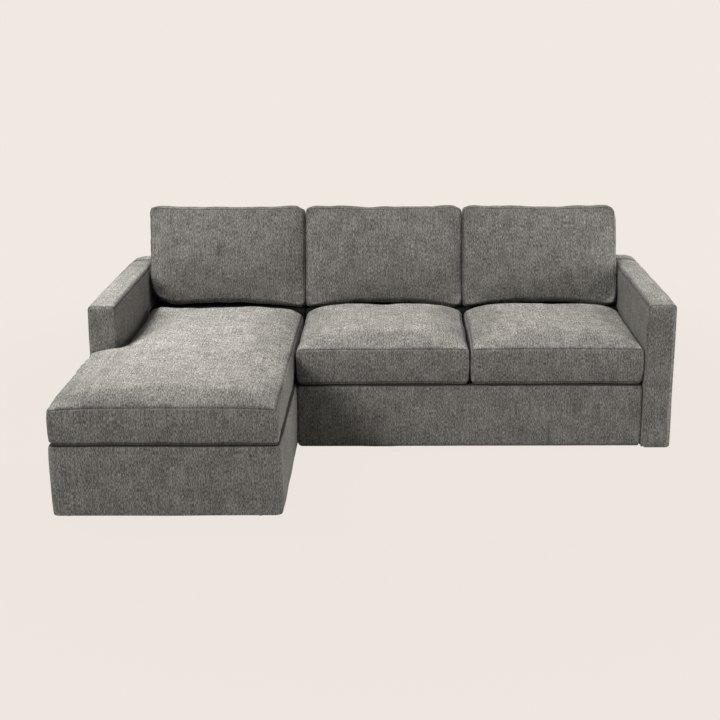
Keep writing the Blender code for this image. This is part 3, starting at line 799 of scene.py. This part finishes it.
def planOf(a, b, spec, corners, arch):
    # The plan: sides drawn in by draw * 4t(1 - t), corners rounded, seam corners pulled out by
    # ear * exp(-d / earFade), and the lower edge of a standing cushion arched by 4t(1 - t). The
    # corners run from low a and low b to high a, then to high b, and back to low a
    a0, a1, b0, b1 = spec["a0"], spec["a1"], spec["b0"], spec["b1"]
    fade = spec["drawFade"]
    shareA, shareB = (a - a0) / (a1 - a0), (b - b0) / (b1 - b0)
    drawA = spec["draw"][0] * 4 * shareB * (1 - shareB)
    drawB = spec["draw"][1] * 4 * shareA * (1 - shareA)
    rise = arch * 4 * shareA * (1 - shareA) * np.exp(-(b - b0) / spec["archFade"])
    plan = np.stack([a + drawA * (np.exp(-(a - a0) / fade) - np.exp(-(a1 - a) / fade)),
                     b + drawB * (np.exp(-(b - b0) / fade) - np.exp(-(b1 - b) / fade)) + rise], -1)
    places = ((a0, b0, 1, 1), (a1, b0, -1, 1), (a1, b1, -1, -1), (a0, b1, 1, -1))
    for radius, (cornerA, cornerB, inA, inB) in zip(corners, places):
        plan = roundCorner(plan, (0, 1), (cornerA, cornerB), (inA, inB), radius)
        near = np.exp(-np.hypot(plan[:, 0] - cornerA, plan[:, 1] - cornerB) / spec["earFade"])
        plan -= spec["ear"] * near[:, None] * np.array([inA, inB])
    return plan


def cushionGrid(spec):
    # The cushion's points as (a, b, c), its faces, and how far each point is from a seam
    near = spec["seamLines"]
    a0, a1, b0, b1 = spec["a0"], spec["a1"], spec["b0"], spec["b1"]
    if "notch" in spec:
        notchA, notchB = spec["notch"]
        linesA = np.concatenate([seamedLines(a0, notchA, spec["spacing"], near)[:-1],
                                 seamedLines(notchA, a1, spec["spacing"], near)])
        linesB = np.concatenate([seamedLines(b0, notchB, spec["spacing"], near)[:-1],
                                 seamedLines(notchB, b1, spec["spacing"], near)])
        i = int(np.argmin(np.abs(linesA - notchA)))
        j = int(np.argmin(np.abs(linesB - notchB)))
    else:
        linesA = seamedLines(a0, a1, spec["spacing"], near)
        linesB = seamedLines(b0, b1, spec["spacing"], near)
        i, j = 0, len(linesB) - 1
    a, b = np.meshgrid(linesA, linesB, indexing="ij")
    index = np.arange(a.size).reshape(a.shape)
    keep = np.ones((len(linesA) - 1, len(linesB) - 1), bool)
    keep[:i, j:] = False
    cells = quads(index)[keep.reshape(-1)]
    loop = np.concatenate([index[:-1, 0], index[-1, :-1], index[-1:i:-1, -1],
                           index[i, -1:j:-1], index[i:0:-1, j], index[0, j:0:-1]])
    share = crownShare(a, b, spec).ravel()
    distance = seamDistance(a, b, spec).ravel()
    top = planOf(a.ravel(), b.ravel(), spec, spec["topCorners"], spec["arch"])
    low = planOf(a.ravel(), b.ravel(), spec, spec["lowCorners"], spec["arch"] * spec["lowArch"])
    topPoints = np.column_stack([top, spec["topSeam"] + spec["topCrown"] * share])
    flatShare = share
    if spec["flatFoot"]:
        flatShare = 1 - (1 - np.clip(distance / spec["creviceDepth"], 0, 1)) ** 2
    lowPoints = np.column_stack([low, spec["lowSeam"] - spec["lowCrown"] * flatShare])
    for cornerA in (a0, a1):
        atCorner = np.exp(-np.hypot(a.ravel() - cornerA, b.ravel() - b0) / spec["dipReach"])
        topPoints[:, 2] -= spec["dip"] * atCorner
    middle = np.array([a0 + a1, b0 + b1]) / 2
    half = np.array([a1 - a0, b1 - b0]) / 2
    lowPoints[:, :2] -= spec["tuck"] * np.clip((lowPoints[:, :2] - middle) / half, -1, 1) ** 3
    lowPoints[:, 1] -= spec["rearDrop"] * np.clip((lowPoints[:, 1] - b0) / (b1 - b0), 0, 1) ** 2

    # Boxing: rings from the low seam up to the top seam, bulged outward by sin(pi t)^bulgePower
    height = spec["topSeam"] - spec["lowSeam"]
    rings = seamedLines(0, height, spec["spacing"] * spec["ringSpacing"], near)[1:-1]
    lowRim, topRim = lowPoints[loop], topPoints[loop]
    along = np.roll(topRim, -1, 0) - np.roll(topRim, 1, 0)
    outward = np.column_stack([along[:, 1], -along[:, 0], np.zeros(len(loop))])
    outward /= np.linalg.norm(outward, axis=1)[:, None]
    bulge = spec["bulge"] * np.sin(np.pi * rings / height) ** spec["bulgePower"]
    wall = [lowRim * (1 - t) + topRim * t + outward * out for t, out in zip(rings / height, bulge)]
    points = np.concatenate([topPoints, lowPoints, *wall])
    distance = np.concatenate([distance, distance,
                               np.repeat(np.minimum(rings, height - rings), len(loop))])
    size, count = a.size, len(loop)
    ringIndex = [loop + size]
    ringIndex += [2 * size + k * count + np.arange(count) for k in range(len(rings))]
    ringIndex.append(loop)
    strip = np.stack(ringIndex)
    strip = np.concatenate([strip, strip[:, :1]], 1)
    faces = np.concatenate([cells, cells[:, ::-1] + size, quads(strip)[:, ::-1]])
    used = np.unique(faces)
    renumber = np.full(len(points), -1)
    renumber[used] = np.arange(len(used))
    return points[used], renumber[faces], distance[used]


clothFilling = {
    "quality": 6,
    "mass": 0.4,
    "tension_stiffness": 18,
    "compression_stiffness": 12,
    "shear_stiffness": 8,
    "bending_stiffness": 0.6,
}


def simulate(piece, spec, pinned):
    # Fills the cushion with air against its own cloth and caps how far any point moves
    group = piece.vertex_groups.new(name="held")
    group.add(np.flatnonzero(pinned).tolist(), 1.0, "REPLACE")
    cloth = piece.modifiers.new("filling", "CLOTH")
    settings = cloth.settings
    for key, value in clothFilling.items():
        setattr(settings, key, value)
    settings.use_pressure = True
    settings.uniform_pressure_force = spec["pressure"]
    settings.shrink_min = spec["ease"]
    settings.vertex_group_mass = "held"
    settings.effector_weights.gravity = 0
    before = readPoints(piece.data)
    for number in range(1, 21):      # twenty frames fill it
        bpy.context.scene.frame_set(number)
    evaluated = piece.evaluated_get(bpy.context.evaluated_depsgraph_get())
    after = readPoints(evaluated.data)
    bpy.context.scene.frame_set(1)
    step = after - before
    ends = np.empty(len(piece.data.edges) * 2, dtype=np.int64)
    piece.data.edges.foreach_get("vertices", ends)
    ends = ends.reshape(-1, 2)
    ends = np.concatenate([ends, ends[:, ::-1]])
    count = np.bincount(ends[:, 0], minlength=len(step))[:, None]
    for _ in range(spec["calm"]):
        around = np.stack([np.bincount(ends[:, 0], step[ends[:, 1], axis], len(step))
                           for axis in range(3)], -1) / count
        step = np.where(pinned[:, None], step, (step + around) / 2)
    length = np.linalg.norm(step, axis=1)
    step *= np.minimum(1, spec["cap"] / np.maximum(length, 1e-9))[:, None]
    return before + step


def creaseSeams(mesh, seam):
    # Keeps the seams sharp through the finishing subdivision
    ends = np.empty(len(mesh.edges) * 2, dtype=np.int64)
    mesh.edges.foreach_get("vertices", ends)
    both = seam[ends.reshape(-1, 2)].all(1)
    crease = mesh.attributes.new("crease_edge", "FLOAT", "EDGE")
    crease.data.foreach_set("value", both.astype(np.float32))


def softLimit(values, low, high, soft):
    # Lets values near a limit and never pass it: limit - soft * exp(-(v - limit + soft) / soft)
    over = np.maximum(values - (high - soft), 0)
    values = np.where(over > 0, high - soft * np.exp(-over / soft), values)
    under = np.maximum(low + soft - values, 0)
    return np.where(under > 0, low + soft * np.exp(-under / soft), values)


def folds(along, seed, spec):
    # Uneven folds along one direction: a sum of sines of random wavelength and phase
    rng = np.random.default_rng(seed)
    field = np.zeros(len(along))
    for _ in range(spec["puckerSines"]):
        length = spec["puckerWave"] * rng.uniform(*spec["puckerRange"])
        field += np.sin(2 * np.pi * along / length + rng.uniform(0, 2 * np.pi))
    return field / math.sqrt(spec["puckerSines"])


def seamFolds(points, distance, spec):
    # Puckers square to the seams that fade with exp(-d / reach), and gathers round the two upper
    # corners: the cosine of the angle times gatherFolds, in a ring
    a, b = points[:, 0], points[:, 1]
    sideA = np.minimum(a - spec["a0"], spec["a1"] - a)
    sideB = np.minimum(b - spec["b0"], spec["b1"] - b)
    reach = spec["puckerReach"]
    pucker = folds(b, spec["seed"] + 70, spec) * np.exp(-np.abs(sideA) / reach)
    alongSides = folds(a, spec["seed"] + 80, spec) * np.exp(-np.abs(sideB) / reach)
    pucker += spec["sidePucker"] * alongSides
    pucker *= np.exp(-distance / spec["puckerFade"])
    middle, width = spec["gatherPlace"]
    for corner in (spec["a0"], spec["a1"]):
        away = np.hypot(a - corner, b - spec["b1"])
        turn = np.arctan2(spec["b1"] - b, np.abs(a - corner))
        ring = np.exp(-((away - middle) / width) ** 2)
        pucker += spec["gather"] * np.cos(spec["gatherFolds"] * turn) * ring
    return pucker


def finishCushion(node, spec, body, low, high, placed):
    # Makes, fills and folds a cushion between two corners of its room. A lying one keeps its flat
    # underside and its top is scaled to the room, and a standing one is scaled as a whole
    name = node + "_cover"
    points, faces, distance = cushionGrid(spec)
    seam = distance < 1e-6
    pinned = seam.copy()
    under = np.zeros(len(points))          # the way down the bottom panel: 0 at its seam to 1
    if spec["flatFoot"]:
        under = (spec["lowSeam"] - points[:, 2]) / spec["lowCrown"]
        pinned |= points[:, 2] < spec["lowSeam"] + 1e-6
    world = placed(points, spec)
    mesh = makeMesh(name, world, faces)
    piece = bpy.data.objects.new(name, mesh)
    bpy.context.scene.collection.objects.link(piece)
    world = simulate(piece, spec, pinned)
    writePoints(mesh, world)
    bpy.data.objects.remove(piece)
    if spec["flatFoot"]:
        above = world[:, 2] - spec["topSeam"]
        scaled = spec["topSeam"] + above * (high[2] - spec["topSeam"]) / above.max()
        world[:, 2] = np.where(above > 0, scaled, world[:, 2])
    else:
        edgeLow, edgeHigh = world.min(0), world.max(0)
        edgeLow[0], edgeHigh[0] = low[0], high[0]
        world = low + (world - edgeLow) * (high - low) / (edgeHigh - edgeLow)
    writePoints(mesh, world)

    # The seam's groove, its lips, its folds and a slow unevenness, all along the normals
    normals = readNormals(mesh)
    middle, width = spec["lipPlace"]
    lift = -spec["seamDepth"] * seam + spec["pucker"] * seamFolds(points, distance, spec)
    lift += spec["seamLip"] * np.exp(-((distance - middle) / width) ** 2)
    lift += ripple(world, spec["seed"], spec["unevenWave"]) * spec["unevenness"]
    world = world + normals * lift[:, None]
    for axis in (0, 1):
        world[:, axis] = softLimit(world[:, axis], low[axis], high[axis], spec["softEdge"])
    held = np.clip(world[:, 2], low[2], high[2])
    world[:, 2] = np.where(under > spec["footFrom"], low[2], held)
    writePoints(mesh, world)
    creaseSeams(mesh, seam)
    # The seams are darkened (thread and painted shade), and the bottom panel past its lip is painted
    # near black: painted shade in the crevice under the cushion
    markSeamsAndShade(mesh, seam + clothLay["paintedShadeDepth"] * smooth(under, *spec["liningFrom"]))
    finished = addPiece(name, mesh, body, fabric, [node], spec["napShare"])
    return finished


def lying(points, spec):
    return points.copy()


def lyingSpec(low, high, look, seed):
    # A lying cushion's look with the places of its seams, from the box of its solid
    inset = look["inset"]
    return dict(look, a0=low[0] + inset, a1=high[0] - inset, b0=low[1] + inset,
                b1=high[1] - inset, lowSeam=low[2] + look["lowCrown"], seed=seed)


seatLook = {
    **cushionLook,
    "dip": 0.003,
    "ear": 0.002,
    "bulge": 0.010,
    "bulgePower": 0.8,
    "topSeam": 0.427,            # height of the upper seam, and how far the top rises over it
    "topCrown": 0.050,
    "lowCrown": 0.015,           # how far the bottom panel comes down below its seam
    "flatFoot": True,
    "rearReach": 0.04,
    "topCorners": (0.006, 0.006, 0.04, 0.04),
    "lowCorners": (0.016, 0.016, 0.035, 0.035),
    "roomLow": (0.0005, -0.004, 0),       # from the corners of its solid's box to those of its room
    "roomHigh": (-0.0005, -0.001, 0.004),
}


def seatCushions(look=seatLook):
    for seed, node in enumerate(("seat_cushion_middle", "seat_cushion_right"), 20):
        low, high = boxOf(node)
        finishCushion(node, lyingSpec(low, high, look, seed), "bed_carriage",
                      low + look["roomLow"], high + look["roomHigh"], lying)


chaiseLook = {
    **cushionLook,
    "notchGap": (0.003, 0.004),  # beside the left arm and in front of it
    "notchReach": 0.022,
    "topSeam": 0.415,
    "topCrown": 0.045,
    "lowCrown": 0.011,
    "liningFrom": (0.5, 0.7),
    "bulge": 0.007,
    "bulgePower": 0.6,
    "creviceDepth": 0.009,
    "draw": (0.001, 0.002),
    "flatFoot": True,
    "rearReach": 0.03,
    "topCorners": (0.016, 0.010, 0.05, 0.03),
    "lowCorners": (0.016, 0.014, 0.05, 0.03),
    "dip": 0.008,
    "dipReach": 0.10,
    "roomLow": (-0.004, -0.006, 0),
    "roomHigh": (-0.0005, -0.001, 0.006),
}


def chaiseCushion(look=chaiseLook):
    low, high = boxOf("chaise_cushion")
    armLow, armHigh = boxOf("left_arm")
    spec = lyingSpec(low, high, look, 31)
    beside, before = look["notchGap"]
    spec["notch"] = (armHigh[0] + beside + look["inset"], armLow[1] - before - look["inset"])
    finishCushion("chaise_cushion", spec, "root", low + look["roomLow"], high + look["roomHigh"],
                  lying)


standingLook = {
    **cushionLook,
    "recline": 0.23,             # how far the cushion leans back over each metre of its height
    "rearGap": 0.080,            # from its rear seam at the foot to the back
    "inset": 0.0090,
    "armGap": 0.004,             # of its room beside an arm's end
    "spare": 0.0039,             # how far neighbours press towards each other
    "overhang": 0.020,           # of the front's lower edge, and how fast it fades upward
    "overhangFade": 0.07,
    "lowSeam": 0.0,
    "lowCrown": 0.030,
    "topSeam": 0.100,            # the boxing's width between the two seams
    "topCrown": 0.060,
    "flatFoot": False,
    "reach": 0.24,
    "rearReach": 0.24,
    "power": 2.4,
    "steepness": 1,
    "arch": 0.024,
    "draw": (-0.004, 0.006),
    "rearDrop": 0.034,
    "ear": 0.0045,
    "pucker": 0.0024,
    "gather": 1.3,
    "tuck": 0.0,
    "pressure": 2.0,
    "bulge": 0.018,
    "bulgePower": 3,
    "softEdge": 0.003,
    "dip": 0.0,
    "fill": 0.8,
    # share of painted light on the cushion's level tops
    "napShare": 0.3,
    "roomLow": (0, -0.004, 0),
    "roomHigh": (0, 0, 0.004),
    "rearCorners": (0.06, 0.06), # the rear panel's two upper corners
    # the front panel's corners: lower left, lower right, upper right, upper left
    "corners": {"left": (0.125, 0.024, 0.046, 0.014), "middle": (0.024, 0.030, 0.042, 0.018),
                "right": (0.024, 0.050, 0.020, 0.018)},
    "tapers": {"left": 0.0, "middle": 0.0, "right": 0.016},   # of each upper right corner
}


def standing(points, spec):
    # b becomes height, and the depth follows the lean. The lower edge comes forward by
    # overhang * exp(-b / fade), and the upper right corner comes in by taper * t^2 * b / tall
    a, b, depth = points.T
    forward = spec["overhang"] * np.exp(-b / spec["overhangFade"]) * depth / spec["topSeam"]
    inward = spec["taper"] * np.clip(a / spec["a1"], 0, 1) ** 2 * b / spec["tall"]
    return np.column_stack([spec["middle"] + a - inward,
                            spec["rearSeam"] + b * spec["recline"] - depth - forward,
                            spec["foot"] + b])


def backCushions(look=standingLook):
    backLow, _ = boxOf("back_left")
    for seed, (place, corners) in enumerate(look["corners"].items(), 40):
        node = "back_cushion_" + place
        low, high = boxOf(node)
        low[0] += look["armGap"] if place == "left" else -look["spare"]
        high[0] += -look["armGap"] if place == "right" else look["spare"]
        half, tall = (high[0] - low[0]) / 2 - look["inset"], high[2] - low[2]
        spec = dict(look, a0=-half, a1=half, b0=look["inset"], b1=tall - look["inset"],
                    topCorners=corners, lowCorners=corners[:2] + look["rearCorners"],
                    middle=(low[0] + high[0]) / 2, foot=low[2], tall=tall,
                    rearSeam=backLow[1] - look["rearGap"], taper=look["tapers"][place], seed=seed)
        finishCushion(node, spec, node, low + look["roomLow"], high + look["roomHigh"], standing)


seatCushions()
chaiseCushion()
backCushions()
print("cushions made")


# Stage, lights and camera

studio = {
    "backdrop": (240, 233, 225),
    "floorTone": (175, 171, 166),    # what the floor gives back to the sofa
    "floorGlow": 0.95,               # share of the floor near the sofa that shows the backdrop
    "cameraPlace": (0.0563, -5.2369, 1.8461),
    "pitch": 15.99,
    "roll": -0.0023,
    "lens": 64.7,
    "shift": -0.0504,
    "worldStrength": 0.07,
    "floorSize": 30,                 # from the middle to each side
    "floorLevel": -0.0005,
    "floorRoughness": 0.9,
    "fadeRange": (1.2, 3.6),         # from the middle, where the floor turns into the backdrop
    # each light: power, place, aim, size and spread in degrees
    "lights": {
        "topLeft": (8.2, (-2.3, 0.45, 3.1), (-1.0, -0.1, 0.4), (0.8, 0.8), 58),
        "topRight": (4.4, (1.1, 0.2, 3.3), (0.9, 0.1, 0.4), (1.6, 1.4), 60),
        "front": (2560, (-11.6, -17.2, 10.8), (0, 0, 0.4), (7.0, 7.0), 180),
        "side": (60, (4.2, 0.1, 0.35), (0, -0.5, 0.3), (0.6, 0.5), 180),
        "fill": (84, (6.0, -1.2, 2.0), (-1.0, 0.1, 0.5), (2.0, 2.0), 180),
        "rear": (150, (0.6, 7.0, 1.3), (0, 0.9, 0.4), (3.0, 1.5), 180),
    },
}


def pathSwitch(tree):
    # 1 for camera, glossy and transmission rays, and 0 for the light that falls on the sofa
    rays = addNode(tree, "ShaderNodeLightPath").outputs
    seen = addNode(tree, "ShaderNodeMath", {0: rays["Is Camera Ray"], 1: rays["Is Glossy Ray"]},
                   operation="MAXIMUM").outputs[0]
    return addNode(tree, "ShaderNodeMath", {0: seen, 1: rays["Is Transmission Ray"]},
                   operation="MAXIMUM").outputs[0]


def areaLight(name, power, place, target, size, spread):
    data = bpy.data.lights.new(name, "AREA")
    data.shape = "RECTANGLE"
    data.size, data.size_y = size
    data.energy = power
    data.spread = math.radians(spread)
    lamp = bpy.data.objects.new(name, data)
    bpy.context.scene.collection.objects.link(lamp)
    lamp.location = place
    lamp.rotation_euler = (Vector(target) - Vector(place)).to_track_quat("-Z", "Y").to_euler()
    return lamp


def makeStage(look):
    world = bpy.data.worlds.new("studio")
    bpy.context.scene.world = world
    world.use_nodes = True
    tree = world.node_tree
    tree.nodes.clear()
    soft = addNode(tree, "ShaderNodeBackground", {"Color": (1, 1, 1, 1),
                                                  "Strength": look["worldStrength"]})
    shown = addNode(tree, "ShaderNodeBackground", {"Color": linear(*look["backdrop"]),
                                                   "Strength": 1.0})
    mix = addNode(tree, "ShaderNodeMixShader", {0: pathSwitch(tree), 1: soft.outputs[0],
                                                2: shown.outputs[0]})
    out = addNode(tree, "ShaderNodeOutputWorld")
    tree.links.new(mix.outputs[0], out.inputs["Surface"])

    size, level = look["floorSize"], look["floorLevel"]
    corners = np.array([(-size, -size, level), (size, -size, level), (size, size, level),
                        (-size, size, level)], float)
    mesh = makeMesh("floor", corners, np.array([(0, 1, 2, 3)]))
    floor = bpy.data.objects.new("floor", mesh)
    bpy.context.scene.collection.objects.link(floor)
    material, tree, shader = newMaterial("pale_floor")
    shader.inputs["Base Color"].default_value = linear(*look["floorTone"])
    shader.inputs["Roughness"].default_value = look["floorRoughness"]
    shader.inputs["Specular IOR Level"].default_value = 0.0
    glow = addNode(tree, "ShaderNodeEmission", {"Color": linear(*look["backdrop"]), "Strength": 1.0})
    place = addNode(tree, "ShaderNodeTexCoord").outputs["Object"]
    away = addNode(tree, "ShaderNodeVectorMath", {0: place}, operation="LENGTH").outputs["Value"]
    near, far = look["fadeRange"]
    fade = addNode(tree, "ShaderNodeMapRange", {"Value": away, "From Min": near, "From Max": far,
                                                "To Min": look["floorGlow"], "To Max": 1.0},
                   interpolation_type="SMOOTHSTEP").outputs[0]
    share = addNode(tree, "ShaderNodeMath", {0: pathSwitch(tree), 1: fade}, operation="MULTIPLY")
    mix = addNode(tree, "ShaderNodeMixShader", {0: share.outputs[0], 1: shader.outputs[0],
                                                2: glow.outputs[0]})
    tree.links.new(mix.outputs[0], tree.nodes["Material Output"].inputs["Surface"])
    mesh.materials.append(material)

    for name, values in look["lights"].items():
        areaLight(name, *values)


def makeCamera(look):
    data = bpy.data.cameras.new("camera")
    data.lens = look["lens"]
    data.sensor_width = 36
    data.shift_x = look["shift"]
    camera = bpy.data.objects.new("camera", data)
    bpy.context.scene.collection.objects.link(camera)
    pitched = Matrix.Rotation(math.radians(90 - look["pitch"]), 4, "X")
    rolled = Matrix.Rotation(look["roll"], 4, "Z")
    camera.matrix_world = Matrix.Translation(look["cameraPlace"]) @ (pitched @ rolled)
    bpy.context.scene.camera = camera


makeStage(studio)
makeCamera(studio)
bpy.context.scene.view_settings.view_transform = "Standard"
print("stage, lights and camera made")
